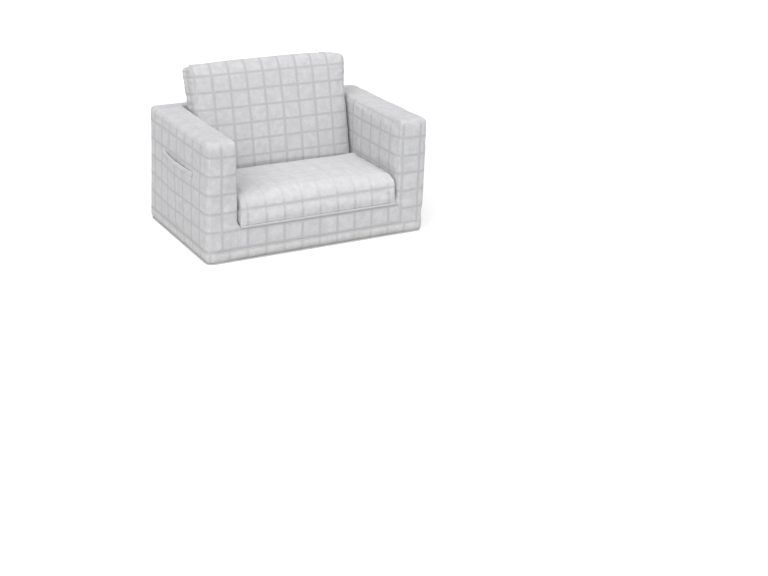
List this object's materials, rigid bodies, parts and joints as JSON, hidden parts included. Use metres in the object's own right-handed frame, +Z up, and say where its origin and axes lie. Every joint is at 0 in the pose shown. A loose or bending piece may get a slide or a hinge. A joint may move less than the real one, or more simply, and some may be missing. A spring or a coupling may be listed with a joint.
{
  "type": "kids flip open sofa",
  "caption": "Low foam sofa for a small child with a seat pad that flips forward and a linked backrest pad that folds down into a flat lounger, with a side pocket.",
  "frame": {"origin": "middle of the underside panel, where the sofa rests on the floor", "axes": "+X along the width, towards the arm without the pocket; +Y from the front to the back; +Z up"},
  "size_m": [0.6739, 0.4298, 0.4447],
  "materials": {
    "check_fabric": "light grey woven cloth with a grey windowpane check",
    "foam": "open cell polyurethane foam",
    "piping": "cloth covered cord",
    "binding": "folded cloth tape, stitched twice",
    "base_cloth": "dark cloth with fine rubber dots",
    "zip_tape": "woven tape",
    "zip_coil": "nylon coil",
    "zip_metal": "painted die cast slider"
  },
  "bodies": {
    "shell": {"left_arm_foam": "foam", "right_arm_foam": "foam", "back_foam": "foam", "base_foam": "foam", "shell_cover": "check_fabric", "bottom_band": "check_fabric", "seam_piping": "piping", "bottom_panel": "base_cloth", "side_pocket": "check_fabric", "pocket_binding": "binding", "shell_zip_tape": "zip_tape", "shell_zip_coil": "zip_coil", "shell_zip_garage": "check_fabric"},
    "shell_zip_slider": {"shell_zip_slider": "zip_metal"},
    "seat_pad": {"seat_foam": "foam", "seat_cover": "check_fabric", "hinge_flap": "check_fabric"},
    "backrest_pad": {"backrest_foam": "foam", "backrest_cover": "check_fabric", "mattress_zip_tape": "zip_tape", "mattress_zip_coil": "zip_coil", "mattress_zip_garage": "check_fabric"},
    "mattress_zip_slider": {"mattress_zip_slider": "zip_metal"}
  },
  "joints": [
    {"name": "seat_flip", "type": "hinge", "parent": "shell", "child": "seat_pad", "pos_m": [0, -0.212, 0.09415], "axis": [1, 0, 0], "range_deg": [0, 180]},
    {"name": "backrest_fold", "type": "hinge", "parent": "seat_pad", "child": "backrest_pad", "pos_m": [0, 0.08104, 0.1363], "axis": [1, 0, 0], "range_deg": [-77.6, 0]},
    {"name": "shell_zip_slide", "type": "slide", "parent": "shell", "child": "shell_zip_slider", "axis": [1, 0, 0], "range_m": [0, 0.4104]},
    {"name": "mattress_zip_slide", "type": "slide", "parent": "backrest_pad", "child": "mattress_zip_slider", "axis": [-1, 0, 0], "range_m": [0, 0.3704]}
  ],
  "couplings": [
    {"joint": "backrest_fold", "follows": "seat_flip", "ratio": -0.43056}
  ]
}
